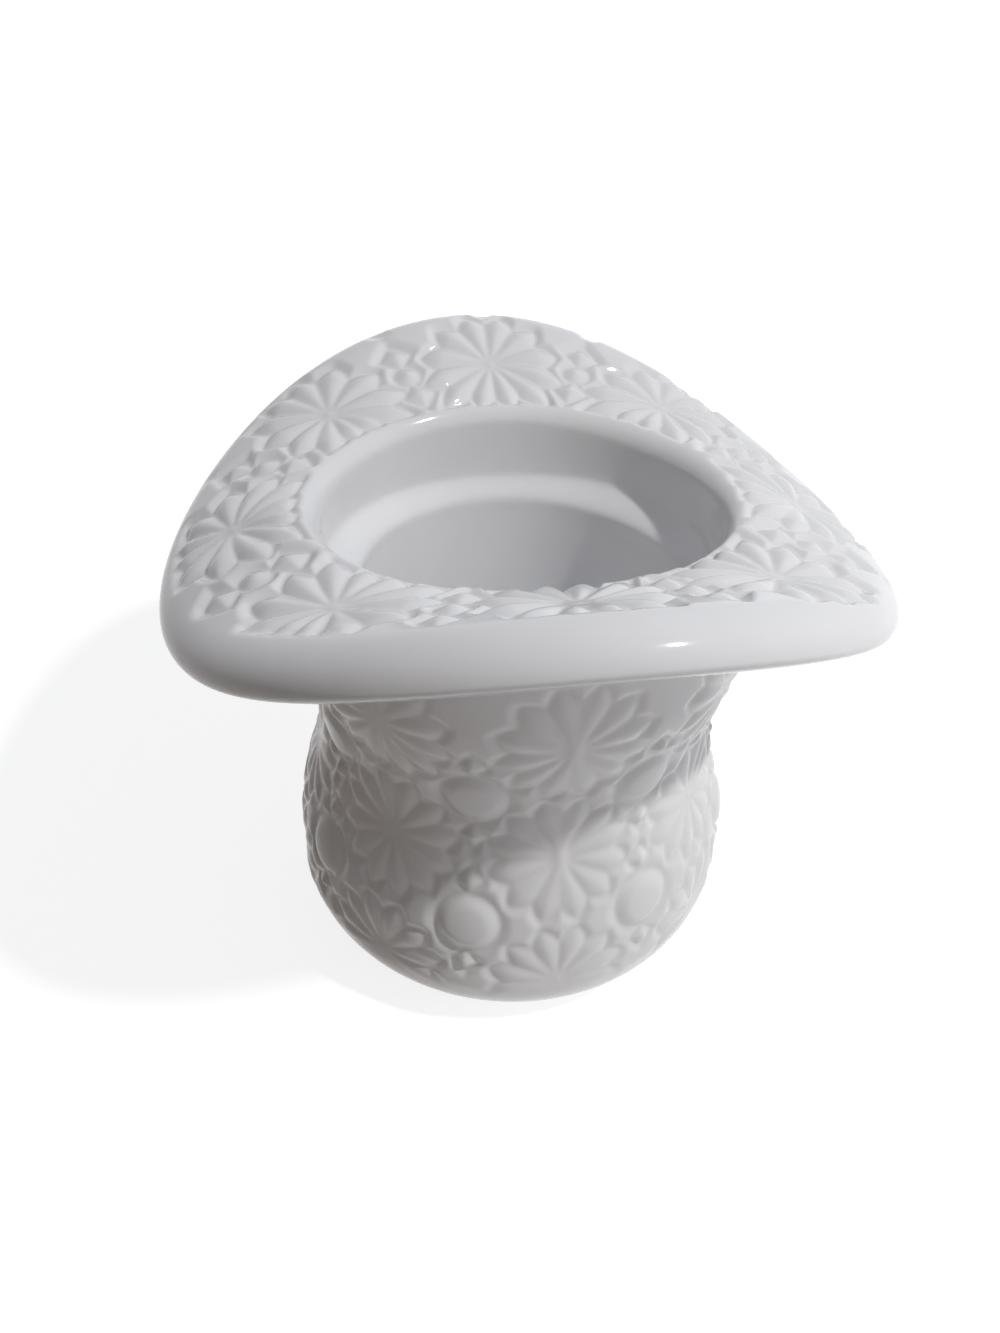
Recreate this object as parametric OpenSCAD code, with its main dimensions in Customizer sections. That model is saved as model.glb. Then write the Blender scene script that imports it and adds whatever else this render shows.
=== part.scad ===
// Glass hat: a small top hat of opaque white pressed glass that stands brim up.
// Millimetres, Z up. The origin is the centre of the flat foot.
// X runs along the two dipped ends of the brim, Y along its two raised sides.

/* [Foot] */
// How far the foot's rounded edge stands out past the widest part of the crown
foot_flare = 0.2; // [0:0.1:1.5]
// Radius of the rounded edge of the foot
foot_edge_r = 10; // [8.6:0.2:11]
// Thickness of the glass floor of the well, which is also the height of the foot piece
floor_thick = 8; // [5:0.2:8.4]
// Radius of the shallow hollow under the foot
hollow_r = 14; // [8:0.5:16]
// Depth of the shallow hollow under the foot
hollow_depth = 0.8; // [0.4:0.1:1.5]

/* [Crown] */
// Radius of the widest part of the crown
belly_r = 29.2; // [27:0.1:31]
// Height of the widest part of the crown
belly_z = 14; // [12:0.5:18]
// Radius of the waist
waist_r = 25.5; // [24:0.2:27]
// Height of the waist
waist_z = 35; // [31:0.5:42]
// How much smaller than the widest part of the crown the neck under the brim is
neck_drop = 0.9; // [0.2:0.1:3]
// Height at which the crown wall ends and the collar begins
neck_z = 50; // [47:0.5:51]

/* [Well] */
// Inside radius of the well at its floor
well_floor_r = 19; // [15:0.2:20]
// Inside radius of the well at the neck
well_top_r = 19.6; // [17:0.2:20.4]
// Radius of the round between the well's wall and its floor
well_fillet = 3; // [1:0.5:6]

/* [Mouth] */
// Height above the neck at which the well starts to widen
shoulder_start = 1.2; // [0.4:0.1:2]
// Height of the shoulder on which the well widens to the mouth
shoulder_rise = 4; // [2:0.5:4.5]
// Mean inside radius of the mouth, above the shoulder of the well
mouth_r = 22.4; // [21.5:0.1:23]
// How much longer than the mean the mouth is toward the dipped ends
mouth_oval = 1.2; // [0:0.1:2]
// Mean height above the neck at which the mouth starts to round over into the brim
mouth_rise = 10.6; // [9:0.1:11.5]
// How much higher than the mean the mouth is at the raised sides
mouth_saddle = 1.2; // [0:0.1:2]
// Radius of the round from the mouth to the top of the brim
mouth_round = 3; // [2:0.1:4]

/* [Brim] */
// Half of the brim's length between the dipped ends
brim_half_length = 43.5; // [42:0.1:46]
// Half of the brim's width between the raised sides
brim_half_width = 42.2; // [40:0.1:45]
// How far the brim sits off centre, toward one of its dipped ends
brim_shift = 0.5; // [-1.5:0.1:1.5]
// Thickness of the brim
brim_thick = 6; // [5:0.1:7]
// Mean height of the middle of the lip above the mouth's edge
lip_lift = 0.3; // [-1.6:0.1:2.4]
// How far the lip rises at the sides and dips at the ends
lip_saddle = 6.7; // [4:0.1:9]
// Mean upward slope of the brim where it leaves the mouth, in degrees
brim_slope = 6.8; // [2:0.2:9]
// Change of that slope between the sides and the ends, in degrees
brim_twist = 19.2; // [10:0.2:21]
// Size of the round between the neck and the underside of the brim
neck_fillet = 2.5; // [1:0.25:3]
// How far the lip reaches out past the end of the brim's middle line
lip_reach = 5; // [4:0.1:6]
// How far below the brim's middle line the lip is widest at the raised sides
lip_drop = 1.3; // [0.4:0.1:1.8]
// Width of the plain band between the brim's pattern and the round of the lip
lip_band = 0.4; // [0.3:0.1:2.5]
// Depth of the sunk panel that holds the brim's pattern
panel_depth = 1.1; // [0.5:0.1:1.5]
// Width of the slope at each edge of the sunk panel
panel_edge = 0.8; // [0.4:0.1:1.2]

/* [Pattern] */
// Number of stars round the hat
columns = 8; // [6:1:9]
// Number of rays in each star
rays = 12; // [8:2:16]
// Height of the full row of stars on the crown
star_z = 29.2; // [28:0.2:31]
// Height from the full row of stars up to the half row under the brim
row_rise = 18; // [17.2:0.2:19]
// Height from the full row of stars down to the half row above the foot
foot_row_drop = 18.4; // [17.6:0.2:19]
// Turn of the brim's pattern against the crown's, in degrees
brim_turn = -3; // [-10:0.5:10]
// Length of a star's rays from its centre
star_r = 8.5; // [7:0.1:8.6]
// Radius of the bare spot in the middle of a star
star_eye_r = 2; // [1:0.1:3]
// Share of the space round the star that the rays fill
ray_fill = 0.85; // [0.5:0.05:0.95]
// Height of the rays on the crown
crown_ray_h = 0.7; // [0.5:0.1:1.4]
// Height of the rays on the brim
brim_ray_h = 0.9; // [0.4:0.1:1.3]
// Diameter of the round buttons on the crown
crown_button_d = 8; // [5:0.2:9]
// Diameter of the round buttons on the brim
brim_button_d = 4; // [3:0.2:6.6]
// Height of the buttons on the crown
crown_button_h = 0.9; // [0.6:0.1:1.6]
// Height of the buttons on the brim
brim_button_h = 1; // [0.5:0.1:1.4]
// Width of the small studs above and below each button of the crown
stud_w = 2.4; // [1.2:0.2:3]
// Clear space between an ornament and its neighbour
ornament_gap = 0.5; // [0.3:0.1:1]
// Fitting space between an ornament and the wall that carries it
seat_gap = 0.2; // [0.2:0.05:0.3]

/* [Hidden] */
$fn = 96;

milk_glass = [0.93, 0.93, 0.94];
shaded_glass = [0.86, 0.86, 0.88];
bright_glass = [0.97, 0.97, 0.98];

// Numbers of steps along each curve
ring_steps = 60;
wall_steps = 24;
arc_steps = 8;
fillet_steps = 4;
panel_steps = 3;
nose_steps = 12;

foot_top_r = belly_r + foot_flare;
foot_flat_r = foot_top_r - foot_edge_r;
neck_r = belly_r - neck_drop;
mouth_z = neck_z + mouth_rise;
lip_z = mouth_z + lip_lift;
lip_round = brim_thick / 2;
column_angle = 360 / columns;
button_rows = [star_z - foot_row_drop / 2, star_z + row_rise / 2];
// Where a ray is widest, as a share of its length from the star's eye
ray_widest = 0.62;
// Step for measuring the slope of a surface
probe = 0.1;

function mix(a, b, k) = a + (b - a) * k;
function ease(k) = k * k * (3 - 2 * k);
function cosine_blend(a, b, k) = mix(a, b, (1 - cos(180 * k)) / 2);
function curve3(a, b, c, k) = mix(mix(a, b, k), mix(b, c, k), k);
function heading(angle) = [cos(angle), sin(angle)];
function turned(p, angle) = [p.x * cos(angle), p.x * sin(angle), p.y];

// Outside radius of the plain crown at a height, from the foot's edge to the neck
function crown_radius(z) =
    z < foot_edge_r ? foot_flat_r + sqrt(foot_edge_r ^ 2 - (foot_edge_r - z) ^ 2) :
    z < belly_z ? cosine_blend(foot_top_r, belly_r, (z - foot_edge_r) / (belly_z - foot_edge_r)) :
    z < waist_z ? cosine_blend(belly_r, waist_r, (z - belly_z) / (waist_z - belly_z)) :
    z < neck_z ? cosine_blend(waist_r, neck_r, (z - waist_z) / (neck_z - waist_z)) :
    neck_r;

// Saddle of the brim: values that swing between the ends, at 0, and the sides, at 90 degrees
function mouth_radius(angle) = mouth_r + mouth_oval * cos(2 * angle);
function mouth_height(angle) = mouth_z - mouth_saddle * cos(2 * angle);
function root_slope(angle) = brim_slope - brim_twist * cos(2 * angle);
function edge_radius(angle) = brim_half_length * brim_half_width
    / norm([brim_half_width * cos(angle), brim_half_length * sin(angle)])
    + brim_shift * cos(angle);

// Point on the round from the mouth to the brim, with k from 0 at the mouth to 1 at the brim
function mouth_point(angle, k) =
    let (bend = k * (90 - root_slope(angle)))
    [mouth_radius(angle) + mouth_round * (1 - cos(bend)),
        mouth_height(angle) + mouth_round * sin(bend)];

// Middle line of the brim in its section at an angle: a curve from the mouth to the lip
function brim_start(angle) = mouth_point(angle, 1) - lip_round * heading(root_slope(angle) + 90);
function brim_end(angle) = [edge_radius(angle) - lip_reach, lip_z - lip_saddle * cos(2 * angle)];
function brim_length(angle) = norm(brim_end(angle) - brim_start(angle));
function brim_bend(angle) =
    brim_start(angle) + brim_length(angle) / 2 * heading(root_slope(angle));
function brim_middle(angle, u) =
    curve3(brim_start(angle), brim_bend(angle), brim_end(angle), u);
function brim_angle(angle, u) =
    let (along = mix(brim_bend(angle) - brim_start(angle), brim_end(angle) - brim_bend(angle), u))
    atan2(along.y, along.x);
function brim_point(angle, u, height) =
    brim_middle(angle, u) + height * heading(brim_angle(angle, u) + 90);

// Ends of the patterned panel and of the brim itself, as shares of the middle line.
// The underside starts farther out where the mouth lies inside the neck.
function root_share(angle) =
    max(0, (neck_r + neck_fillet - brim_point(angle, 0, -lip_round).x)
        / (brim_length(angle) * cos(root_slope(angle))));
function lip_share(angle) = 1 - lip_band / brim_length(angle);
function edge_share(angle) = panel_edge / brim_length(angle);
function panel_share(angle, k) = mix(edge_share(angle), lip_share(angle) - edge_share(angle), k);

// Section of the collar: the shoulder of the well, the mouth, and the round under the brim
function collar_section(angle) =
    let (
        top = mouth_point(angle, 0),
        under = brim_point(angle, root_share(angle), -lip_round),
        lean = brim_angle(angle, root_share(angle)),
        corner = [neck_r, under.y - (under.x - neck_r) * tan(lean)],
        foot = [neck_r, corner.y - neck_fillet]
    )
    concat(
        [[well_top_r, neck_z]],
        [for (k = [0:arc_steps])
            [mix(well_top_r, top.x, ease(k / arc_steps)),
                neck_z + shoulder_start + shoulder_rise * k / arc_steps]],
        [for (k = [0:arc_steps]) mouth_point(angle, k / arc_steps)],
        [for (k = [0:fillet_steps]) curve3(under, corner, foot, k / fillet_steps)],
        [[neck_r, neck_z]]
    );

// Section of the brim, with the sunk panel for its pattern on top
function brim_section(angle) =
    let (lip = lip_share(angle))
    concat(
        [brim_point(angle, 0, lip_round)],
        [for (k = [0:panel_steps])
            brim_point(angle, panel_share(angle, k / panel_steps), lip_round - panel_depth)],
        [brim_point(angle, lip, lip_round)],
        [for (k = [0:panel_steps])
            brim_point(angle, mix(lip, root_share(angle), k / panel_steps), -lip_round)]
    );

// Place on the round of the lip, out from and above the end of the middle line
function lip_nose(angle, turn) =
    let (drop = lip_drop * sin(angle) ^ 2)
    [lip_reach * cos(turn), (lip_round + (turn > 0 ? drop : -drop)) * sin(turn) - drop];

// Section of the lip: a plain band that ends in a round, fuller on top than below
function lip_section(angle) =
    let (lip = lip_share(angle), lean = brim_angle(angle, 1))
    concat(
        [brim_point(angle, lip, lip_round)],
        [for (k = [0:nose_steps])
            let (p = lip_nose(angle, 90 - 180 * k / nose_steps))
            brim_end(angle) + p.x * heading(lean) + p.y * heading(lean + 90)],
        [brim_point(angle, lip, -lip_round)]
    );

// Closed ring through one section for each step round the hat.
// Rings that touch split their shared faces the same way, one forward and one not.
module swept_ring(sections, forward) {
    size = len(sections[0]);
    points = [for (i = [0:ring_steps - 1], p = sections[i]) turned(p, i * 360 / ring_steps)];
    faces = [
        for (i = [0:ring_steps - 1], j = [0:size - 1])
            let (
                a = i * size + j,
                b = i * size + (j + 1) % size,
                c = (i + 1) % ring_steps * size + (j + 1) % size,
                d = (i + 1) % ring_steps * size + j
            )
            each forward ? [[a, c, b], [a, d, c]] : [[a, d, b], [b, d, c]]
    ];
    polyhedron(points, faces);
}

// Low pyramid on four base points, with its peak above them
module pyramid(base, peak) {
    polyhedron(concat(base, [peak]), [[0, 1, 2], [0, 2, 3], [1, 0, 4], [2, 1, 4], [3, 2, 4], [0, 3, 4]]);
}

// Domed disc that stands on the plane z = 0
module domed_button(diameter, height) {
    rotate_extrude()
        polygon(concat(
            [[0, 0], [diameter / 2, 0]],
            [for (k = [0:arc_steps])
                let (turn = 90 * k / arc_steps)
                [diameter / 2 * cos(turn), height / 2 * (1 + sin(turn))]]
        ));
}

// The four base points and the peak of a ray: its inner end, two sides, outer end and top
function ray_outline(turn, length) =
    let (
        wide = mix(star_eye_r, length, ray_widest),
        half = ray_fill * wide * tan(180 / rays)
    )
    [
        star_eye_r * heading(turn),
        wide * heading(turn) + half * heading(turn - 90),
        length * heading(turn),
        wide * heading(turn) + half * heading(turn + 90),
        wide * heading(turn)
    ];

// Point on the crown, from a place p measured round and up from a centre, at a height off the wall
function on_crown(angle, z, p, height) =
    turned([crown_radius(z + p.y) + height, z + p.y], angle + p.x / crown_radius(z) * 180 / PI);

module crown_ornament(angle, z, outline) {
    base = [for (k = [0:3]) on_crown(angle, z, outline[k], seat_gap)];
    pyramid(base, on_crown(angle, z, outline[4], seat_gap + crown_ray_h));
}

// Star on the crown that keeps the rays between two turns, measured from the horizontal
module crown_star(angle, z, first_turn, last_turn) {
    for (k = [0:rays - 1]) {
        turn = (k + 0.5) * 360 / rays;
        if (turn > first_turn && turn < last_turn)
            crown_ornament(angle, z, ray_outline(turn, star_r));
    }
}

// Middle of the brim's panel, measured from the hat's axis
function panel_radius(angle) = brim_middle(angle, panel_share(angle, 0.5)).x;
function panel_half_width(angle) =
    (panel_share(angle, 1) - panel_share(angle, 0)) / 2 * brim_length(angle);

// Point on the brim's panel, from a place p measured round and outward from the panel's middle
function on_brim(angle, p, height) =
    let (
        place = angle + p.x / panel_radius(angle) * 180 / PI,
        u = panel_share(place, 0.5) + p.y / brim_length(place)
    )
    turned(brim_point(place, u, lip_round - panel_depth + height), place);

// Length of a ray on the brim, which ends short of the panel's edges and of the next button
function brim_ray_length(angle, turn) =
    let (room = panel_radius(angle) * column_angle / 2 * PI / 180 - brim_button_d / 2 - ornament_gap)
    min(star_r, panel_half_width(angle) / abs(sin(turn)), room / abs(cos(turn)));

module brim_star(angle) {
    for (k = [0:rays - 1]) {
        turn = (k + 0.5) * 360 / rays;
        outline = ray_outline(turn, brim_ray_length(angle, turn));
        base = [for (p = [0:3]) on_brim(angle, outline[p], seat_gap)];
        pyramid(base, on_brim(angle, outline[4], seat_gap + brim_ray_h));
    }
}

module foot() {
    color(milk_glass)
        rotate_extrude()
            polygon(concat(
                [[0, hollow_depth], [hollow_r - hollow_depth, hollow_depth], [hollow_r, 0]],
                [for (k = [0:wall_steps])
                    let (turn = acos(1 - floor_thick / foot_edge_r) * k / wall_steps)
                    [foot_flat_r + foot_edge_r * sin(turn), foot_edge_r * (1 - cos(turn))]],
                [[0, floor_thick]]
            ));
}

module crown_wall() {
    color(milk_glass)
        rotate_extrude()
            polygon(concat(
                [for (k = [0:wall_steps])
                    let (z = mix(floor_thick, neck_z, k / wall_steps))
                    [crown_radius(z), z]],
                [[well_top_r, neck_z]],
                [for (k = [0:arc_steps])
                    let (turn = 90 * k / arc_steps)
                    [well_floor_r - well_fillet * (1 - cos(turn)),
                        floor_thick + well_fillet * (1 - sin(turn))]]
            ));
}

module mouth_collar() {
    color(shaded_glass)
        swept_ring([for (i = [0:ring_steps - 1]) collar_section(i * 360 / ring_steps)], true);
}

module brim() {
    color(milk_glass)
        swept_ring([for (i = [0:ring_steps - 1]) brim_section(i * 360 / ring_steps)], false);
}

module brim_lip() {
    color(bright_glass)
        swept_ring([for (i = [0:ring_steps - 1]) lip_section(i * 360 / ring_steps)], true);
}

// One full row of stars, with the upper half of a row below it and the lower half of a row above it
module crown_stars() {
    color(bright_glass)
        for (column = [0:columns - 1]) {
            angle = column * column_angle;
            crown_star(angle, star_z, 0, 360);
            crown_star(angle, star_z - foot_row_drop, 0, 180);
            crown_star(angle, star_z + row_rise, 180, 360);
        }
}

module crown_buttons() {
    color(bright_glass)
        for (column = [0:columns - 1], z = button_rows) {
            lean = atan((crown_radius(z + probe) - crown_radius(z - probe)) / (2 * probe));
            rotate([0, 0, (column + 0.5) * column_angle])
                translate([crown_radius(z), 0, z])
                    rotate([0, 90 + lean, 0])
                        translate([0, 0, seat_gap])
                            domed_button(crown_button_d, crown_button_h);
        }
}

// Small pointed studs above and below each button of the crown
module crown_studs() {
    offset_z = (crown_button_d + stud_w) / 2 + ornament_gap;
    half = stud_w / 2;
    outline = [[0, -half], [half, 0], [0, half], [-half, 0], [0, 0]];
    color(bright_glass)
        for (column = [0:columns - 1], z = button_rows, side = [-1, 1])
            crown_ornament((column + 0.5) * column_angle, z + side * offset_z, outline);
}

module brim_stars() {
    color(bright_glass)
        for (column = [0:columns - 1])
            brim_star(column * column_angle + brim_turn);
}

module brim_buttons() {
    color(bright_glass)
        for (column = [0:columns - 1]) {
            angle = (column + 0.5) * column_angle + brim_turn;
            seat = on_brim(angle, [0, 0], seat_gap);
            along = on_brim(angle, [probe, 0], seat_gap) - seat;
            outward = on_brim(angle, [0, probe], seat_gap) - seat;
            up = cross(outward, along) / norm(cross(outward, along));
            translate(seat)
                rotate([0, acos(up.z), atan2(up.y, up.x)])
                    domed_button(brim_button_d, brim_button_h);
        }
}

foot();
crown_wall();
mouth_collar();
brim();
brim_lip();
crown_stars();
crown_buttons();
crown_studs();
brim_stars();
brim_buttons();
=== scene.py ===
"""Looks of a small top hat of pressed milk glass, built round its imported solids.

The hat is one pressing in opaque white glass. It is shown as two closed
pieces that meet at the neck, under the brim: the crown with its foot and
well, and the brim with its lip and mouth. The pressed stars, buttons and
studs are part of each piece's own surface.
"""

from __future__ import annotations

import logging
import math
from dataclasses import dataclass
from enum import Enum

import bmesh
import bpy
import numpy as np
from mathutils import Matrix, Vector

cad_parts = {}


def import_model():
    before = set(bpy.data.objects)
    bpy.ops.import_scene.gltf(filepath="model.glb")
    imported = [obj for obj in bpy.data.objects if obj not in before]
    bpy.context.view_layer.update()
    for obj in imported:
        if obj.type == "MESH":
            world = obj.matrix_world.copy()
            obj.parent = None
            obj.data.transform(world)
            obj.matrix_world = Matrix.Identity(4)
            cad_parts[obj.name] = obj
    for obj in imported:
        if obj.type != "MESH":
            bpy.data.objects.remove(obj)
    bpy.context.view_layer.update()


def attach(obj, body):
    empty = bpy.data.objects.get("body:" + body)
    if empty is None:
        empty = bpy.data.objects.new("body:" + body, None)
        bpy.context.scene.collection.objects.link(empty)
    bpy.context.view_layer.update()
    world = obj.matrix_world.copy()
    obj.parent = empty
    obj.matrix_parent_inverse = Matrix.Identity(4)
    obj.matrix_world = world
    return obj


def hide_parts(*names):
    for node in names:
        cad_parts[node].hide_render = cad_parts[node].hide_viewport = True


log = logging.getLogger("glass_hat")

MM = 0.001

# Rise of a place that no ornament reaches, and distance out of a place that is not on the brim's top.
NO_RISE = -9.0
OFF_TOP = -99.0
# Step along a band over which a section's direction is taken, and the least length of that step.
SHARE_STEP = 0.004
LEAST_LENGTH = 1e-9
# Distance in metres within which the seams of a mesh are welded.
WELD = 1e-7

Colour = tuple[float, float, float]
Span = tuple[float, float]
Pair = tuple[np.ndarray, np.ndarray]


class GlassSlot(Enum):
    """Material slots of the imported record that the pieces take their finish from."""

    PLAIN = "milk_glass_plain"
    PRESSED = "milk_glass_pressed"


class CrownBand(Enum):
    """Bands of the crown's section, from the middle of its underside to the middle of the well."""

    HOLLOW = 0
    RIM = 1
    STAND = 2
    FOOT = 3
    WALL = 4
    JOIN = 5
    WELL = 6
    ROUND = 7
    FLOOR = 8


class BrimBand(Enum):
    """Bands of the brim's section, in order round it."""

    SHOULDER = 0
    THROAT = 1
    MOUTH = 2
    PANEL = 3
    LIP = 4
    UNDERSIDE = 5
    FILLET = 6
    JOIN = 7
    NECK = 8


def mix(a, b, share):
    """Value at a share of the way from a to b."""
    return a + (b - a) * share


def ease(share):
    """Smooth step of a share that is already between 0 and 1."""
    return share * share * (3.0 - 2.0 * share)


def step_between(low: float, high: float, value: np.ndarray) -> np.ndarray:
    """Smooth step of a value from 0 at low to 1 at high."""
    return ease(np.clip((value - low) / (high - low), 0.0, 1.0))


def soft_abs(value: np.ndarray, softness: float) -> np.ndarray:
    """Size of a value, rounded off near zero."""
    return np.sqrt(value * value + softness * softness) - softness


def even(count: int) -> list[float]:
    """Shares from 0 up to, and not including, 1."""
    return [step / count for step in range(count)]


@dataclass(frozen=True)
class HatForm:
    """Sizes of the plain hat in millimetres, and the sections that they give."""

    foot_edge_r: float = 10.0
    foot_flare: float = 0.2
    floor_thick: float = 8.0
    hollow_r: float = 14.0
    hollow_depth: float = 0.8
    belly_r: float = 29.2
    belly_z: float = 14.0
    waist_r: float = 25.5
    waist_z: float = 35.0
    neck_drop: float = 0.9
    neck_z: float = 50.0
    well_floor_r: float = 19.0
    well_top_r: float = 19.6
    well_fillet: float = 3.0
    shoulder_start: float = 1.2
    shoulder_rise: float = 4.0
    mouth_r: float = 22.4
    mouth_oval: float = 1.2
    mouth_rise: float = 10.6
    mouth_saddle: float = 1.2
    mouth_round: float = 3.0
    brim_half_length: float = 43.5
    brim_half_width: float = 42.2
    brim_shift: float = 0.5
    brim_thick: float = 6.0
    lip_lift: float = 0.3
    lip_saddle: float = 6.7
    brim_slope: float = 6.8
    brim_twist: float = 19.2
    neck_fillet: float = 2.5
    lip_reach: float = 5.0
    lip_drop: float = 1.3
    facet_gap: float = 0.05

    @property
    def foot_flat_r(self) -> float:
        """Radius of the flat face that the hat stands on."""
        return self.belly_r + self.foot_flare - self.foot_edge_r

    @property
    def neck_r(self) -> float:
        """Radius of the neck under the brim."""
        return self.belly_r - self.neck_drop

    @property
    def lip_round(self) -> float:
        """Radius of the lip, which is half of the brim's thickness."""
        return self.brim_thick / 2.0

    def crown_radius(self, z: np.ndarray) -> np.ndarray:
        """Outside radius of the plain crown.

        Args:
            z: Heights above the foot.

        Returns:
            The radius at each height.
        """
        arc = np.sqrt(np.maximum(0.0, self.foot_edge_r**2 - (self.foot_edge_r - z) ** 2))
        low = self.foot_flat_r + arc
        foot_top = self.foot_flat_r + self.foot_edge_r

        def swing(a: float, b: float, start: float, end: float) -> np.ndarray:
            """Cosine blend from one radius to another between two heights."""
            share = np.clip((z - start) / (end - start), 0.0, 1.0)
            return mix(a, b, (1.0 - np.cos(np.pi * share)) / 2.0)

        return np.select(
            [z < self.foot_edge_r, z < self.belly_z, z < self.waist_z],
            [
                low,
                swing(foot_top, self.belly_r, self.foot_edge_r, self.belly_z),
                swing(self.belly_r, self.waist_r, self.belly_z, self.waist_z),
            ],
            swing(self.waist_r, self.neck_r, self.waist_z, self.neck_z),
        )

    def mouth_radius(self, turn: np.ndarray) -> np.ndarray:
        """Inside radius of the mouth at each turn round the hat."""
        return self.mouth_r + self.mouth_oval * np.cos(2.0 * turn)

    def mouth_height(self, turn: np.ndarray) -> np.ndarray:
        """Height at which the mouth starts to round over into the brim."""
        return self.neck_z + self.mouth_rise - self.mouth_saddle * np.cos(2.0 * turn)

    def root_slope(self, turn: np.ndarray) -> np.ndarray:
        """Upward slope of the brim where it leaves the mouth, in radians."""
        return np.radians(self.brim_slope - self.brim_twist * np.cos(2.0 * turn))

    def edge_radius(self, turn: np.ndarray) -> np.ndarray:
        """Radius of the outer edge of the lip."""
        long_side, short_side = self.brim_half_length, self.brim_half_width
        oval = long_side * short_side / np.hypot(short_side * np.cos(turn), long_side * np.sin(turn))
        return oval + self.brim_shift * np.cos(turn) - self.facet_gap

    def mouth_point(self, turn: np.ndarray, share: np.ndarray) -> Pair:
        """Point on the round from the mouth, at share 0, to the brim, at share 1."""
        bend = share * (np.pi / 2.0 - self.root_slope(turn))
        radius = self.mouth_radius(turn) + self.mouth_round * (1.0 - np.cos(bend))
        return radius, self.mouth_height(turn) + self.mouth_round * np.sin(bend)

    def brim_line(self, turn: np.ndarray) -> dict[str, np.ndarray]:
        """Middle line of the brim as the three points of a curve from mouth to lip.

        Args:
            turn: Turns round the hat, in radians.

        Returns:
            The radius and height of the start, bend and end, and the length.
        """
        slope = self.root_slope(turn)
        top_r, top_z = self.mouth_point(turn, np.ones_like(turn))
        start_r = top_r + self.lip_round * np.sin(slope)
        start_z = top_z - self.lip_round * np.cos(slope)
        end_r = self.edge_radius(turn) - self.lip_reach
        lip_z = self.neck_z + self.mouth_rise + self.lip_lift - self.facet_gap
        end_z = lip_z - self.lip_saddle * np.cos(2.0 * turn)
        length = np.hypot(end_r - start_r, end_z - start_z)
        return {
            "start_r": start_r,
            "start_z": start_z,
            "bend_r": start_r + length / 2.0 * np.cos(slope),
            "bend_z": start_z + length / 2.0 * np.sin(slope),
            "end_r": end_r,
            "end_z": end_z,
            "length": length,
        }

    def brim_point(
        self, turn: np.ndarray, share: np.ndarray, height: np.ndarray
    ) -> tuple[np.ndarray, np.ndarray, np.ndarray]:
        """Point at a height off the brim's middle line.

        Args:
            turn: Turns round the hat, in radians.
            share: Shares of the middle line, from 0 at the mouth to 1 at the lip.
            height: Heights above the middle line.

        Returns:
            Radius, height above the foot, and slope of the line there.
        """
        line = self.brim_line(turn)
        first_r, first_z = line["bend_r"] - line["start_r"], line["bend_z"] - line["start_z"]
        last_r, last_z = line["end_r"] - line["bend_r"], line["end_z"] - line["bend_z"]
        slope = np.arctan2(mix(first_z, last_z, share), mix(first_r, last_r, share))
        early_r, early_z = line["start_r"] + first_r * share, line["start_z"] + first_z * share
        late_r, late_z = line["bend_r"] + last_r * share, line["bend_z"] + last_z * share
        middle_r, middle_z = mix(early_r, late_r, share), mix(early_z, late_z, share)
        return middle_r - height * np.sin(slope), middle_z + height * np.cos(slope), slope

    def lip_point(self, turn: np.ndarray, bend: np.ndarray) -> Pair:
        """Point on the round of the lip, from its top at a quarter turn to its underside.

        Args:
            turn: Turns round the hat, in radians.
            bend: Turns round the lip, in radians.

        Returns:
            Radius and height above the foot.
        """
        line = self.brim_line(turn)
        _, _, slope = self.brim_point(turn, np.ones_like(turn), np.zeros_like(turn))
        drop = self.lip_drop * np.sin(turn) ** 2
        tall = self.lip_round + np.where(bend > 0.0, drop, -drop)
        out, up = self.lip_reach * np.cos(bend), tall * np.sin(bend) - drop
        radius = line["end_r"] + out * np.cos(slope) - up * np.sin(slope)
        return radius, line["end_z"] + out * np.sin(slope) + up * np.cos(slope)

    def root_share(self, turn: np.ndarray) -> np.ndarray:
        """Share of the middle line at which the brim's underside leaves the neck's round."""
        inner, _, _ = self.brim_point(turn, np.zeros_like(turn), np.full_like(turn, -self.lip_round))
        reach = self.brim_line(turn)["length"] * np.cos(self.root_slope(turn))
        return np.maximum(0.0, (self.neck_r + self.neck_fillet - inner) / reach)

    def neck_corner(self, turn: np.ndarray) -> np.ndarray:
        """Height at which the brim's underside, run on inward, would meet the neck."""
        below = np.full_like(turn, -self.lip_round)
        start_r, start_z, lean = self.brim_point(turn, self.root_share(turn), below)
        return start_z - (start_r - self.neck_r) * np.tan(lean)

    def neck_top(self, turn: np.ndarray) -> np.ndarray:
        """Height at which the crown's wall ends and the round under the brim begins."""
        return self.neck_corner(turn) - self.neck_fillet


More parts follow.
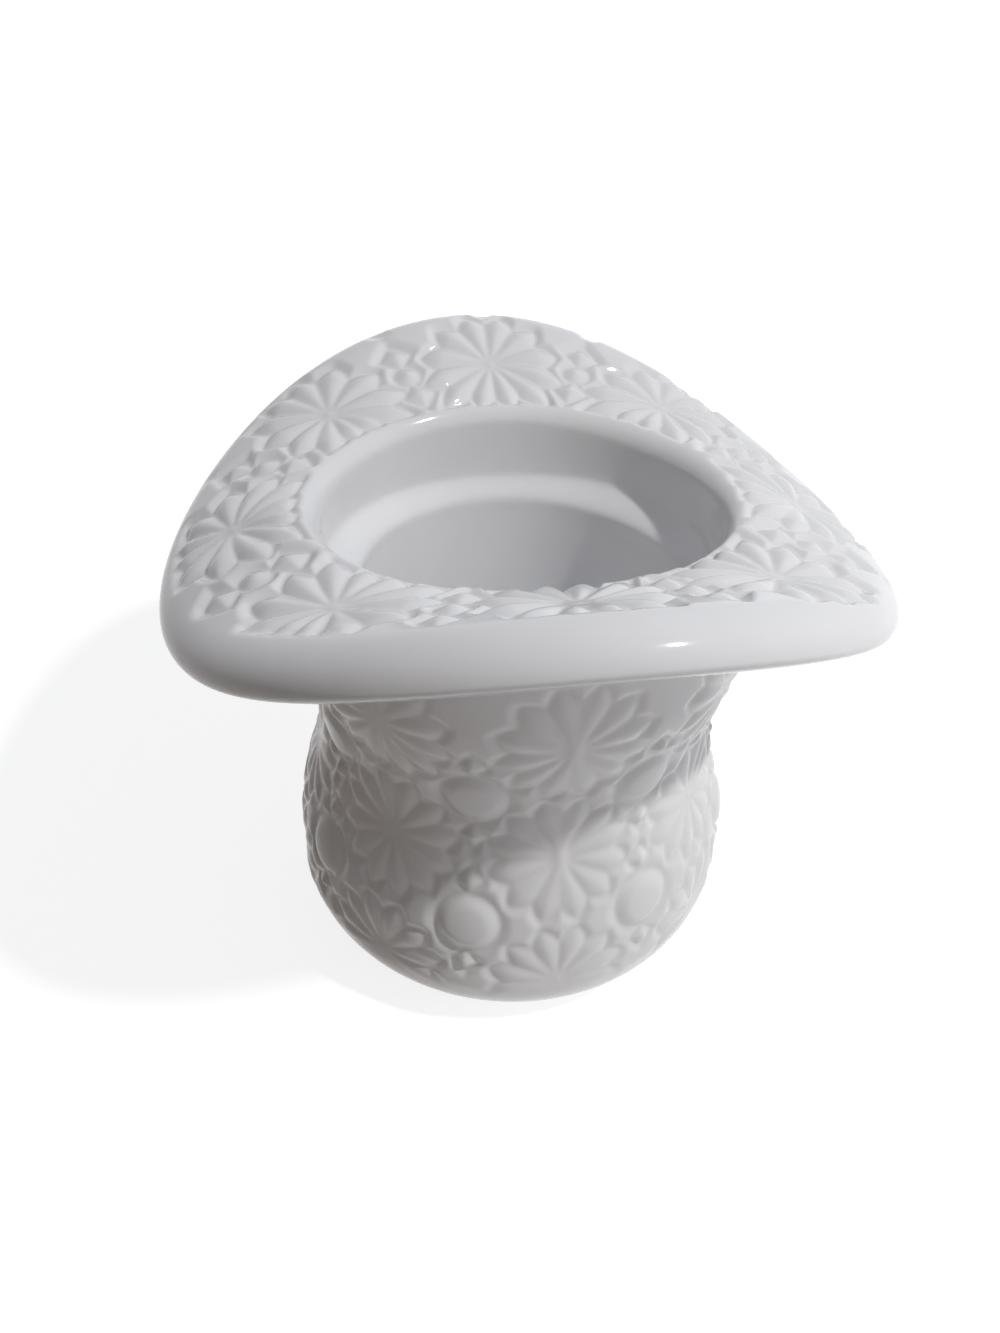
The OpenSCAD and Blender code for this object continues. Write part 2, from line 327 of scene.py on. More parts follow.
@dataclass(frozen=True)
class StarPattern:
    """Pressed pattern of rayed stars, round buttons and pointed studs, in millimetres.

    Each ornament has a signed rise: 1 on its crest, 0 on its outline and less outside it.
    The outlines are narrow grooves, and the glass between the ornaments is as high as they are.
    """

    columns: int = 8
    rays: int = 12
    star_z: float = 29.2
    row_rise: float = 18.0
    foot_row_drop: float = 18.4
    star_r: float = 8.8
    eye_r: float = 0.8
    widest: float = 0.66
    ray_fill: float = 1.0
    flush_h: float = 0.3
    groove_h: float = 0.42
    ground_slope: float = 1.1
    button_r: float = 4.0
    button_h: float = 0.4
    button_edge: float = 1.5
    brim_star_r: float = 9.8
    brim_button_r: float = 1.8
    brim_stud_w: float = 4.0
    stud_w: float = 3.0
    stud_h: float = 0.3
    ornament_gap: float = 0.5
    groove_round: float = 0.08
    crest_round: float = 0.2
    flank_power: float = 1.35
    inward_power: float = 1.2
    outward_power: float = 1.7
    side_power: float = 1.15
    seam_w: float = 0.9
    seam_share: float = 0.5
    seam_start: Span = (18.0, 24.0)

    @property
    def pitch(self) -> float:
        """Turn from one star to the next, in radians."""
        return 2.0 * math.pi / self.columns

    def ray_angle(self, number: int) -> float:
        """Angle of a star's ray from the way round the hat, in radians."""
        return (number + 0.5) * 2.0 * math.pi / self.rays

    def nearest(self, turn: np.ndarray) -> np.ndarray:
        """Turn from the nearest star's column, in radians."""
        return (turn + self.pitch / 2.0) % self.pitch - self.pitch / 2.0

    def pressed(self, rise: np.ndarray) -> np.ndarray:
        """Height of the glass, from 0 in the grooves along the outlines to 1 on the crests."""
        slope = np.where(rise > 0.0, 1.0, self.ground_slope)
        near = np.clip(soft_abs(rise, self.groove_round) * slope, 0.0, 1.0)
        return 1.0 - (1.0 - near) ** self.flank_power

    def ray(self, along: np.ndarray, across: np.ndarray, length: np.ndarray | float) -> np.ndarray:
        """Signed rise of one ray.

        Args:
            along: Distances from the star's centre along the ray.
            across: Distances to the side of the ray.
            length: Length of the ray from the star's centre.

        Returns:
            The rise, below 0 away from the ray.
        """
        crest = mix(self.eye_r, length, self.widest)
        half = self.ray_fill * crest * math.tan(math.pi / self.rays)
        inward = np.clip((crest - along) / (crest - self.eye_r), 0.0, None)
        outward = np.clip((along - crest) / (length - crest), 0.0, None)
        aside = soft_abs(across, self.crest_round) / half
        return 1.0 - inward**self.inward_power - outward**self.outward_power - aside**self.side_power

    def star(self, x: np.ndarray, y: np.ndarray, lengths: list[np.ndarray | float]) -> np.ndarray:
        """Signed rise of a whole star.

        Args:
            x: Distances from the star's centre round the hat.
            y: Distances from the star's centre up the surface.
            lengths: Length of each ray.

        Returns:
            The rise at each place.
        """
        rise = np.full_like(x, NO_RISE)
        for number, length in enumerate(lengths):
            angle = self.ray_angle(number)
            along = x * math.cos(angle) + y * math.sin(angle)
            across = y * math.cos(angle) - x * math.sin(angle)
            rise = np.maximum(rise, self.ray(along, across, length))
        return rise

    def stud(self, x: np.ndarray, y: np.ndarray, width: float) -> np.ndarray:
        """Signed rise of a four-sided pointed stud."""
        away = soft_abs(x, self.crest_round) + soft_abs(y, self.crest_round)
        return 1.0 - away / (width / 2.0)

    def on_crown(self, turn: np.ndarray, z: np.ndarray, radius: np.ndarray) -> Pair:
        """Pattern of the crown's wall, with the mould's seam on its front and back.

        Args:
            turn: Turns round the hat, in radians.
            z: Heights above the foot.
            radius: Radius of the plain crown there.

        Returns:
            The height off the wall in millimetres, and the grooves from 0 to 1.
        """
        near = self.nearest(turn)
        x, aside = near * radius, (self.pitch / 2.0 - np.abs(near)) * radius
        lengths = [self.star_r] * self.rays
        rise = np.full_like(x, NO_RISE)
        for row in (-self.foot_row_drop, 0.0, self.row_rise):
            rise = np.maximum(rise, self.star(x, z - self.star_z - row, lengths))
        extra = np.zeros_like(x)
        for row in (-self.foot_row_drop / 2.0, self.row_rise / 2.0):
            y = z - self.star_z - row
            distance = np.hypot(aside, y)
            dome = 1.0 - (distance / self.button_r) ** 2
            extra = np.maximum(extra, self.button_h * np.clip(dome, 0.0, 1.0))
            button = (self.button_r - distance) / self.button_edge
            inside = distance < self.button_r + self.ornament_gap
            rise = np.where(inside, button, np.maximum(rise, button))
            reach = self.button_r + self.stud_w / 2.0 + self.ornament_gap
            for side in (-1.0, 1.0):
                stud = self.stud(aside, y - side * reach, self.stud_w)
                rise = np.maximum(rise, stud)
                extra = np.maximum(extra, self.stud_h * np.clip(stud, 0.0, 1.0))
        groove = 1.0 - self.pressed(rise)
        height = self.flush_h - self.groove_h * groove + extra
        seam_turn = np.abs((turn + math.pi) % math.pi - math.pi / 2.0)
        seam = self.seam_share * np.exp(-((seam_turn * radius / self.seam_w) ** 2))
        seam *= step_between(*self.seam_start, z)
        return mix(height, np.maximum(height, self.flush_h), seam), groove * (1.0 - seam)

    def on_brim(
        self, x: np.ndarray, aside: np.ndarray, y: np.ndarray, inner: np.ndarray, outer: np.ndarray
    ) -> np.ndarray:
        """Signed rise of the brim's pattern.

        Args:
            x: Distances round the hat from the nearest star.
            aside: Distances round the hat from the nearest button.
            y: Distances outward from the stars' centres.
            inner: Length of the rays toward the mouth.
            outer: Length of the rays toward the lip.

        Returns:
            The rise at each place.
        """
        lengths = []
        for number in range(self.rays):
            angle = self.ray_angle(number)
            reach = outer if math.sin(angle) > 0.0 else inner
            lengths.append(np.minimum(self.brim_star_r, reach / abs(math.sin(angle))))
        rise = self.star(x, y, lengths)
        distance = np.hypot(aside, y)
        rise = np.maximum(rise, (self.brim_button_r - distance) / self.brim_button_r)
        for side in (-1.0, 1.0):
            place = y - side * (self.brim_button_r + self.brim_stud_w / 2.0)
            rise = np.maximum(rise, self.stud(aside, place, self.brim_stud_w))
        return rise


@dataclass
class PressedPiece:
    """A closed piece of the hat: rows round its section, and columns round the hat.

    The bands of the section name its rows, and each row lies at a share of its band.
    """

    form: HatForm
    pattern: StarPattern
    name: str
    looped: bool
    outward: float
    columns: int = 576

    def plan(self) -> list[tuple[Enum, float]]:
        """Lists the band and the share of every row, in order along the section."""
        raise NotImplementedError

    def section(self, turn: np.ndarray, band: np.ndarray, share: np.ndarray) -> Pair:
        """Gives the radius and the height of places on the plain section."""
        raise NotImplementedError

    def relief(self, turn: np.ndarray, band: np.ndarray, share: np.ndarray) -> Pair:
        """Gives the height of the pattern off the plain section, and its grooves from 0 to 1."""
        raise NotImplementedError

    def place(self, turn: np.ndarray, row: np.ndarray) -> Pair:
        """Places vertices on the section and lifts them by the pattern.

        Args:
            turn: Turn of each vertex round the hat, in radians.
            row: Number of the row that each vertex lies in.

        Returns:
            Places in metres, and the depth of the groove at each.
        """
        rows = self.plan()
        band = np.array([item.value for item, _ in rows])[row]
        share = np.array([value for _, value in rows])[row]
        behind_r, behind_z = self.section(turn, band, share - SHARE_STEP)
        ahead_r, ahead_z = self.section(turn, band, share + SHARE_STEP)
        size = np.maximum(np.hypot(ahead_r - behind_r, ahead_z - behind_z), LEAST_LENGTH)
        lift, groove = self.relief(turn, band, share)
        radius, height = self.section(turn, band, share)
        radius = radius + self.outward * lift * (ahead_z - behind_z) / size
        height = height - self.outward * lift * (ahead_r - behind_r) / size
        places = np.stack([radius * np.cos(turn), radius * np.sin(turn), height], axis=1)
        return places * MM, groove

    def build(self) -> bpy.types.Object:
        """Lays a grid of rows and columns, wraps it round the hat and closes its seams.

        Returns:
            The linked object, closed and smooth, with its grooves as an attribute.
        """
        rows = self.plan()
        steps = len(rows) if self.looped else len(rows) - 1
        shape = bmesh.new()
        bmesh.ops.create_grid(shape, x_segments=self.columns, y_segments=steps, size=1.0)
        flat = np.array([vert.co[:2] for vert in shape.verts])
        column = np.rint((flat[:, 0] + 1.0) / 2.0 * self.columns).astype(int) % self.columns
        row = np.rint((flat[:, 1] + 1.0) / 2.0 * steps).astype(int) % len(rows)
        places, groove = self.place(column * 2.0 * np.pi / self.columns, row)
        # The groove depth is kept as an attribute, which the finish reads to paint shade into the
        # grooves.
        depth = shape.verts.layers.float.new("groove")
        for vert, spot, value in zip(shape.verts, places.tolist(), groove.tolist()):
            vert.co = spot
            vert[depth] = value
        self.mark_corners(shape, row)
        seam = [vert for vert in shape.verts if vert.is_boundary]
        bmesh.ops.remove_doubles(shape, verts=seam, dist=WELD)
        bmesh.ops.recalc_face_normals(shape, faces=shape.faces[:])
        mesh = bpy.data.meshes.new(self.name)
        shape.to_mesh(mesh)
        shape.free()
        mesh.shade_smooth()
        piece = bpy.data.objects.new(self.name, mesh)
        bpy.context.scene.collection.objects.link(piece)
        return piece

    def mark_corners(self, shape: bmesh.types.BMesh, row: np.ndarray) -> None:
        """Keeps the corners of the face sharp at which the two pieces meet.

        Args:
            shape: Mesh whose edges are marked.
            row: Number of the row that each vertex lies in.
        """
        joins = [item.name == "JOIN" for item, _ in self.plan()]
        corners = [number for number, join in enumerate(joins) if join != joins[number - 1]]
        marked = np.isin(row, corners)
        shape.verts.index_update()
        for edge in shape.edges:
            first, last = edge.verts[0].index, edge.verts[1].index
            edge.smooth = not (marked[first] and row[first] == row[last])


@dataclass
class Crown(PressedPiece):
    """The crown with its rounded foot, its pressed wall and the smooth well inside."""

    name: str = "crown_glass"
    looped: bool = False
    outward: float = 1.0
    wall_rows: int = 118
    pattern_start: Span = (7.5, 10.5)
    pattern_end: Span = (-1.2, 0.0)
    ripple_h: float = 0.03
    ripple_turns: Span = (5.0, -2.0)
    ripple_rises: Span = (0.21, 0.33)

    def plan(self) -> list[tuple[CrownBand, float]]:
        """Lists the band and the share of every row, up the outside and down the well."""
        shares = {
            CrownBand.HOLLOW: [0.0, 0.3, 0.6, 0.85, 0.97],
            CrownBand.RIM: [0.1, 0.5, 0.9],
            CrownBand.STAND: [0.05, 0.35, 0.7],
            CrownBand.FOOT: even(22),
            CrownBand.WALL: even(self.wall_rows),
            CrownBand.JOIN: [0.0, 0.5],
            CrownBand.WELL: [0.0, 0.25, 0.5, 0.75, 0.95],
            CrownBand.ROUND: even(6),
            CrownBand.FLOOR: [0.0, 0.04, 0.35, 0.7, 1.0],
        }
        return [(band, share) for band in CrownBand for share in shares[band]]

    def section(self, turn: np.ndarray, band: np.ndarray, share: np.ndarray) -> Pair:
        """Gives the radius and the height of places on the plain section.

        Args:
            turn: Turns round the hat, in radians.
            band: Number of the band of each place.
            share: How far along its band each place lies.

        Returns:
            Radius, and height above the foot.
        """
        form = self.form
        ones = np.ones_like(turn)
        top = form.neck_top(turn)
        hollow_r = form.hollow_r - form.hollow_depth
        bend = np.pi / 2.0 * share
        wall_z = mix(form.foot_edge_r, top, share)
        floor_r = form.well_floor_r - form.well_fillet
        well_foot = form.floor_thick + form.well_fillet
        places = {
            CrownBand.HOLLOW: (hollow_r * share, form.hollow_depth * ones),
            CrownBand.RIM: (hollow_r + form.hollow_depth * share, form.hollow_depth * (1.0 - share)),
            CrownBand.STAND: (mix(form.hollow_r, form.foot_flat_r, share), 0.0 * ones),
            CrownBand.FOOT: (
                form.foot_flat_r + form.foot_edge_r * np.sin(bend),
                form.foot_edge_r * (1.0 - np.cos(bend)),
            ),
            CrownBand.WALL: (form.crown_radius(wall_z), wall_z),
            CrownBand.JOIN: (mix(form.neck_r, form.well_top_r, share), mix(top, form.neck_z, share)),
            CrownBand.WELL: (
                mix(form.well_top_r, form.well_floor_r, share),
                mix(form.neck_z, well_foot, share),
            ),
            CrownBand.ROUND: (
                floor_r + form.well_fillet * np.cos(bend),
                well_foot - form.well_fillet * np.sin(bend),
            ),
            CrownBand.FLOOR: (floor_r * (1.0 - share), form.floor_thick * ones),
        }
        chosen = [band == item.value for item in CrownBand]
        radius = np.select(chosen, [places[item][0] for item in CrownBand])
        return radius, np.select(chosen, [places[item][1] for item in CrownBand])

    def relief(self, turn: np.ndarray, band: np.ndarray, share: np.ndarray) -> Pair:
        """Gives the height of the pattern off the wall, and its grooves from 0 to 1."""
        radius, z = self.section(turn, band, share)
        top = self.form.neck_top(turn)
        pressed = np.isin(band, (CrownBand.FOOT.value, CrownBand.WALL.value))
        fade = pressed * step_between(*self.pattern_start, z)
        fade *= 1.0 - step_between(*self.pattern_end, z - top)
        relief, groove = self.pattern.on_crown(turn, z, np.maximum(radius, 1.0))
        ripple = self.ripple_h
        for turns, rises in zip(self.ripple_turns, self.ripple_rises):
            ripple = ripple * np.sin(turns * turn + rises * z)
        return fade * (relief + ripple), fade * groove


@dataclass
class Brim(PressedPiece):
    """The saddle-curved brim with its patterned top, its thick lip and the mouth of the well."""

    name: str = "brim_glass"
    looped: bool = True
    outward: float = -1.0
    columns: int = 640
    groove_h: float = 0.75
    pattern_turn: float = -3.0
    mouth_cover: float = 1.9
    mouth_swing: float = -0.9
    mouth_fade: float = 1.2
    lip_cover_near: float = 0.2
    lip_cover_far: float = 5.6
    lip_smooth_turn: float = 235.0
    lip_smooth_power: float = 1.2
    lip_fade: float = 1.6
    centre_back: float = 0.2
    centre_swing: float = 0.5
    mouth_gap: float = 0.3
    lip_gap: float = 0.2
    scallop_w: float = 1.5
    scallop_round: float = 0.3
    scallop_share: float = 0.75
    scallop_start: Span = (0.5, 2.5)

    def plan(self) -> list[tuple[BrimBand, float]]:
        """Lists the band and the share of every row, up the mouth, over the top and back underneath."""
        shares = {
            BrimBand.SHOULDER: even(10),
            BrimBand.THROAT: even(4),
            BrimBand.MOUTH: even(16),
            BrimBand.PANEL: even(60),
            BrimBand.LIP: even(40),
            BrimBand.UNDERSIDE: even(12),
            BrimBand.FILLET: even(7),
            BrimBand.JOIN: [0.0, 0.5],
            BrimBand.NECK: [0.0, 0.5],
        }
        return [(band, share) for band in BrimBand for share in shares[band]]

    def section(self, turn: np.ndarray, band: np.ndarray, share: np.ndarray) -> Pair:
        """Gives the radius and the height of places on the plain section.

        Args:
            turn: Turns round the hat, in radians.
            band: Number of the band of each place.
            share: How far along its band each place lies.

        Returns:
            Radius, and height above the foot.
        """
        form = self.form
        half = np.full_like(turn, form.lip_round)
        root = form.root_share(turn)
        panel_r, panel_z, _ = form.brim_point(turn, share, half)
        under_r, under_z, _ = form.brim_point(turn, mix(1.0, root, share), -half)
        start_r, start_z, _ = form.brim_point(turn, root, -half)
        corner, top = form.neck_corner(turn), form.neck_top(turn)
        inner, outer = mix(start_z, corner, share), mix(corner, top, share)
        shoulder = form.neck_z + form.shoulder_start
        places = {
            BrimBand.SHOULDER: (
                mix(form.well_top_r, form.mouth_radius(turn), ease(share)),
                shoulder + form.shoulder_rise * share,
            ),
            BrimBand.THROAT: (
                form.mouth_radius(turn),
                mix(shoulder + form.shoulder_rise, form.mouth_height(turn), share),
            ),
            BrimBand.MOUTH: form.mouth_point(turn, share),
            BrimBand.PANEL: (panel_r, panel_z),
            BrimBand.LIP: form.lip_point(turn, np.pi * (0.5 - share)),
            BrimBand.UNDERSIDE: (under_r, under_z),
            BrimBand.FILLET: (
                mix(mix(start_r, form.neck_r, share), form.neck_r, share),
                mix(inner, outer, share),
            ),
            BrimBand.JOIN: (mix(form.neck_r, form.well_top_r, share), mix(top, form.neck_z, share)),
            BrimBand.NECK: (
                np.full_like(turn, form.well_top_r),
                mix(form.neck_z, shoulder, share),
            ),
        }
        chosen = [band == item.value for item in BrimBand]
        radius = np.select(chosen, [places[item][0] for item in BrimBand])
        return radius, np.select(chosen, [places[item][1] for item in BrimBand])

    def relief(self, turn: np.ndarray, band: np.ndarray, share: np.ndarray) -> Pair:
        """Gives the depth of the pattern in the brim's top, and its grooves from 0 to 1.

        The pattern starts on the mouth's round, crosses the top and ends on the lip's round. It goes
        farthest out at the far edge, which it notches, and leaves the near left of the lip smooth.
        """
        form, pattern = self.form, self.pattern
        length = form.brim_line(turn)["length"]
        mouth_arc = form.mouth_round * (np.pi / 2.0 - form.root_slope(turn))
        lip_arc = np.pi / 2.0 * (form.lip_reach + form.lip_round + form.lip_drop)
        on_band = [band == item.value for item in (BrimBand.MOUTH, BrimBand.PANEL, BrimBand.LIP)]
        distances = [(share - 1.0) * mouth_arc, share * length, length + share * lip_arc]
        out = np.select(on_band, distances, default=OFF_TOP)
        facing = (1.0 + np.cos(turn - math.radians(self.lip_smooth_turn))) / 2.0
        smooth = facing**self.lip_smooth_power
        outer = length + mix(self.lip_cover_far, self.lip_cover_near, smooth)
        cover = self.mouth_cover + self.mouth_swing * np.sin(turn)
        centre = (length - self.centre_back + self.centre_swing * np.sin(turn)) / 2.0
        radius, _ = self.section(turn, band, share)
        near = pattern.nearest(turn - math.radians(self.pattern_turn))
        aside = (pattern.pitch / 2.0 - np.abs(near)) * radius
        inner, reach = centre + cover - self.mouth_gap, outer - centre - self.lip_gap
        rise = pattern.on_brim(near * radius, aside, out - centre, inner, reach)
        window = step_between(0.0, self.mouth_fade, out + cover)
        window *= 1.0 - step_between(-self.lip_fade, 0.0, out - outer)
        beside = np.minimum(np.abs(near) * radius, aside)
        scallop = self.scallop_share * (1.0 - smooth) * step_between(*self.scallop_start, out - length)
        scallop *= np.clip(1.0 - soft_abs(beside, self.scallop_round) / self.scallop_w, 0.0, 1.0)
        groove = window * np.maximum(1.0 - pattern.pressed(rise), scallop)
        return -self.groove_h * groove, groove


class SurfaceEffects:
    """Shader node groups that the glass finishes share."""

    CLOUD_DETAIL = 3.0
    CLOUD_ROUGHNESS = 0.55
    RIPPLE_DETAIL = 2.0
    FINE_SCALE = 900.0
    FINE_SHARE = 0.22

    def __init__(self) -> None:
        """Builds the groups once."""
        self.cloud = self._make_cloud()
        self.polish = self._make_polish()

    def _make_cloud(self) -> bpy.types.NodeTree:
        """Faint clouds in the opal glass, as a tone from 0 to 1."""
        group = bpy.data.node_groups.new("opal_cloud", "ShaderNodeTree")
        group.interface.new_socket("Scale", in_out="INPUT", socket_type="NodeSocketFloat")
        group.interface.new_socket("Tone", in_out="OUTPUT", socket_type="NodeSocketFloat")
        nodes, links = group.nodes, group.links
        entry, leave = nodes.new("NodeGroupInput"), nodes.new("NodeGroupOutput")
        place = nodes.new("ShaderNodeTexCoord")
        noise = nodes.new("ShaderNodeTexNoise")
        noise.inputs["Detail"].default_value = self.CLOUD_DETAIL
        noise.inputs["Roughness"].default_value = self.CLOUD_ROUGHNESS
        links.new(place.outputs["Object"], noise.inputs["Vector"])
        links.new(entry.outputs["Scale"], noise.inputs["Scale"])
        links.new(noise.outputs["Fac"], leave.inputs["Tone"])
        return group

    def _make_polish(self) -> bpy.types.NodeTree:
        """Soft ripple that the mould and the fire polish leave in the glass."""
        group = bpy.data.node_groups.new("fire_polish", "ShaderNodeTree")
        group.interface.new_socket("Scale", in_out="INPUT", socket_type="NodeSocketFloat")
        group.interface.new_socket("Height", in_out="OUTPUT", socket_type="NodeSocketFloat")
        nodes, links = group.nodes, group.links
        entry, leave = nodes.new("NodeGroupInput"), nodes.new("NodeGroupOutput")
        place = nodes.new("ShaderNodeTexCoord")
        broad = nodes.new("ShaderNodeTexNoise")
        broad.inputs["Detail"].default_value = self.RIPPLE_DETAIL
        fine = nodes.new("ShaderNodeTexNoise")
        fine.inputs["Detail"].default_value = self.RIPPLE_DETAIL
        fine.inputs["Scale"].default_value = self.FINE_SCALE
        blend = nodes.new("ShaderNodeMath")
        blend.operation = "MULTIPLY_ADD"
        blend.inputs[1].default_value = self.FINE_SHARE
        links.new(place.outputs["Object"], broad.inputs["Vector"])
        links.new(place.outputs["Object"], fine.inputs["Vector"])
        links.new(entry.outputs["Scale"], broad.inputs["Scale"])
        links.new(fine.outputs["Fac"], blend.inputs[0])
        links.new(broad.outputs["Fac"], blend.inputs[2])
        links.new(blend.outputs["Value"], leave.inputs["Height"])
        return group


@dataclass(frozen=True)
class MilkGlass:
    """Finish of opaque white glass: a glossy skin over a dense, slightly cloudy body, with painted
    shade darkening the grooves.
    """

    name: str
    specular: float
    body: Colour = (0.93, 0.932, 0.94)
    cloud: Colour = (0.895, 0.895, 0.9)
    cloud_scale: float = 55.0
    cloud_range: Span = (0.35, 0.65)
    # Painted shade: grey that the base colour is darkened toward in the grooves, in place of the shade
    # that falls there.
    groove: Colour = (0.8, 0.79, 0.78)
    groove_shade_amount: float = 0.25
    roughness: float = 0.14
    roughness_swing: float = 0.08
    sheen_scale: float = 140.0
    ripple: float = 0.1
    ripple_scale: float = 220.0
    ripple_depth: float = 0.0004
    ior: float = 1.5

    def make(self, effects: SurfaceEffects) -> bpy.types.Material:
        """Builds the material from shader nodes.

        Args:
            effects: The shared node groups.

        Returns:
            The finished material.
        """
        material = bpy.data.materials.new(self.name)
        material.use_nodes = True
        nodes, links = material.node_tree.nodes, material.node_tree.links
        shader = nodes["Principled BSDF"]
        shader.inputs["IOR"].default_value = self.ior
        shader.inputs["Specular IOR Level"].default_value = self.specular

        cloud = nodes.new("ShaderNodeGroup")
        cloud.node_tree = effects.cloud
        cloud.inputs["Scale"].default_value = self.cloud_scale
        tone = nodes.new("ShaderNodeMapRange")
        tone.inputs["From Min"].default_value = self.cloud_range[0]
        tone.inputs["From Max"].default_value = self.cloud_range[1]
        body = nodes.new("ShaderNodeMix")
        body.data_type = "RGBA"
        body.inputs["A"].default_value = (*self.body, 1.0)
        body.inputs["B"].default_value = (*self.cloud, 1.0)
        links.new(cloud.outputs["Tone"], tone.inputs["Value"])
        links.new(tone.outputs["Result"], body.inputs["Factor"])

        # Painted shade: the groove depth, times the share, darkens the base colour toward the groove
        # grey, standing in for shade in the grooves.
        depth = nodes.new("ShaderNodeAttribute")
        depth.attribute_name = "groove"
        groove_shade_share = nodes.new("ShaderNodeMath")
        groove_shade_share.operation = "MULTIPLY"
        groove_shade_share.inputs[1].default_value = self.groove_shade_amount
        groove_shaded = nodes.new("ShaderNodeMix")
        groove_shaded.data_type = "RGBA"
        groove_shaded.inputs["B"].default_value = (*self.groove, 1.0)
        links.new(depth.outputs["Fac"], groove_shade_share.inputs[0])
        links.new(groove_shade_share.outputs["Value"], groove_shaded.inputs["Factor"])
        links.new(body.outputs["Result"], groove_shaded.inputs["A"])
        links.new(groove_shaded.outputs["Result"], shader.inputs["Base Color"])

        sheen = nodes.new("ShaderNodeGroup")
        sheen.node_tree = effects.cloud
        sheen.inputs["Scale"].default_value = self.sheen_scale
        gloss = nodes.new("ShaderNodeMapRange")
        gloss.inputs["To Min"].default_value = self.roughness
        gloss.inputs["To Max"].default_value = self.roughness + self.roughness_swing
        links.new(sheen.outputs["Tone"], gloss.inputs["Value"])
        links.new(gloss.outputs["Result"], shader.inputs["Roughness"])

        polish = nodes.new("ShaderNodeGroup")
        polish.node_tree = effects.polish
        polish.inputs["Scale"].default_value = self.ripple_scale
        bump = nodes.new("ShaderNodeBump")
        bump.inputs["Strength"].default_value = self.ripple
        bump.inputs["Distance"].default_value = self.ripple_depth
        links.new(polish.outputs["Height"], bump.inputs["Height"])
        links.new(bump.outputs["Normal"], shader.inputs["Normal"])
        return material


@dataclass(frozen=True)
class Studio:
    """Camera, pale floor and light: a near key lamp, a dim room and the floor's bounce.

    Sizes of the camera and the lamp are in millimetres, and those of the floor's fades in metres.
    """

    focal_px: float = 1019.26
    picture: tuple[int, int] = (1000, 1333)
    sensor_width: float = 36.0
    nearest_seen: float = 0.01
    camera_at: tuple[float, float, float] = (-25.2585, -103.7843, 117.3565)
    camera_aim: tuple[float, float, float] = (0.17422805, 0.78146827, -0.59912597)
    camera_roll: float = 2.09
    key_azimuth: float = -40.0
    key_elevation: float = 53.0
    key_distance: float = 420.0
    key_aim: tuple[float, float, float] = (0.0, 0.0, 50.0)
    key_width: float = 22.0
    key_power: float = 0.89
    key_colour: Colour = (1.0, 0.99, 0.98)
    room_left: Colour = (0.08, 0.046, 0.016)
    room_right: Colour = (0.19, 0.19, 0.2)
    room_back: Colour = (0.38, 0.38, 0.385)
    room_above: Colour = (0.225, 0.258, 0.325)
    sides_span: Span = (-0.45, 0.7)
    back_span: Span = (0.3, 0.95)
    above_span: Span = (0.45, 1.0)
    backdrop: Colour = (1.0, 1.0, 1.0)
    floor_half: float = 15.0
    floor_tone: Colour = (0.4, 0.4, 0.4)
    floor_glow: Span = (0.83, 0.95)
    glow_span: Span = (0.1, 0.3)
    bounce_left: Colour = (0.085, 0.048, 0.014)
    bounce_right: Colour = (0.98, 0.97, 0.96)
    bounce_way: tuple[float, float, float] = (0.94, -0.34, 0.0)
    bounce_span: Span = (-0.028, 0.008)

    def set_camera(self) -> None:
        """Puts the camera at the photograph's viewpoint."""
        data = bpy.data.cameras.new("camera")
        data.sensor_width = self.sensor_width
        data.lens = self.focal_px / max(self.picture) * self.sensor_width
        data.clip_start = self.nearest_seen
        camera = bpy.data.objects.new("camera", data)
        bpy.context.scene.collection.objects.link(camera)
        forward = Vector(self.camera_aim).normalized()
        side = forward.cross(Vector((0.0, 0.0, 1.0))).normalized()
        up = side.cross(forward)
        roll = math.radians(self.camera_roll)
        right = side * math.cos(roll) + up * math.sin(roll)
        over = up * math.cos(roll) - side * math.sin(roll)
        turn = Matrix((right, over, -forward)).transposed().to_4x4()
        camera.matrix_world = Matrix.Translation(Vector(self.camera_at) * MM) @ turn
        bpy.context.scene.camera = camera

    def set_floor(self) -> None:
        """Lays a plain pale floor that shows white and keeps the hat's shadow."""
        shape = bmesh.new()
        bmesh.ops.create_grid(shape, x_segments=2, y_segments=2, size=self.floor_half)
        mesh = bpy.data.meshes.new("floor")
        shape.to_mesh(mesh)
        shape.free()
        floor = bpy.data.objects.new("floor", mesh)
        bpy.context.scene.collection.objects.link(floor)
        mesh.materials.append(self.floor_material())

    def floor_material(self) -> bpy.types.Material:
        """Builds the floor's finish.

        Returns:
            A material that is pale where it is seen, and whose bounce is brown at the left.
        """
        material = bpy.data.materials.new("pale_floor")
        material.use_nodes = True
        nodes, links = material.node_tree.nodes, material.node_tree.links
        nodes.clear()
        place = nodes.new("ShaderNodeTexCoord").outputs["Object"]

        across = nodes.new("ShaderNodeVectorMath")
        across.operation = "DOT_PRODUCT"
        across.inputs[1].default_value = self.bounce_way
        links.new(place, across.inputs[0])
        plain = nodes.new("ShaderNodeBsdfDiffuse")
        way = across.outputs["Value"]
        bounce = self.fade(nodes, links, way, self.bounce_span, self.bounce_left, self.bounce_right)
        links.new(bounce, plain.inputs["Color"])

        pale = nodes.new("ShaderNodeBsdfDiffuse")
        pale.inputs["Color"].default_value = (*self.floor_tone, 1.0)
        distance = nodes.new("ShaderNodeVectorMath")
        distance.operation = "LENGTH"
        strength = nodes.new("ShaderNodeMapRange")
        strength.interpolation_type = "SMOOTHSTEP"
        strength.inputs["From Min"].default_value = self.glow_span[0]
        strength.inputs["From Max"].default_value = self.glow_span[1]
        strength.inputs["To Min"].default_value = self.floor_glow[0]
        strength.inputs["To Max"].default_value = self.floor_glow[1]
        glow = nodes.new("ShaderNodeEmission")
        links.new(place, distance.inputs[0])
        links.new(distance.outputs["Value"], strength.inputs["Value"])
        links.new(strength.outputs["Result"], glow.inputs["Strength"])

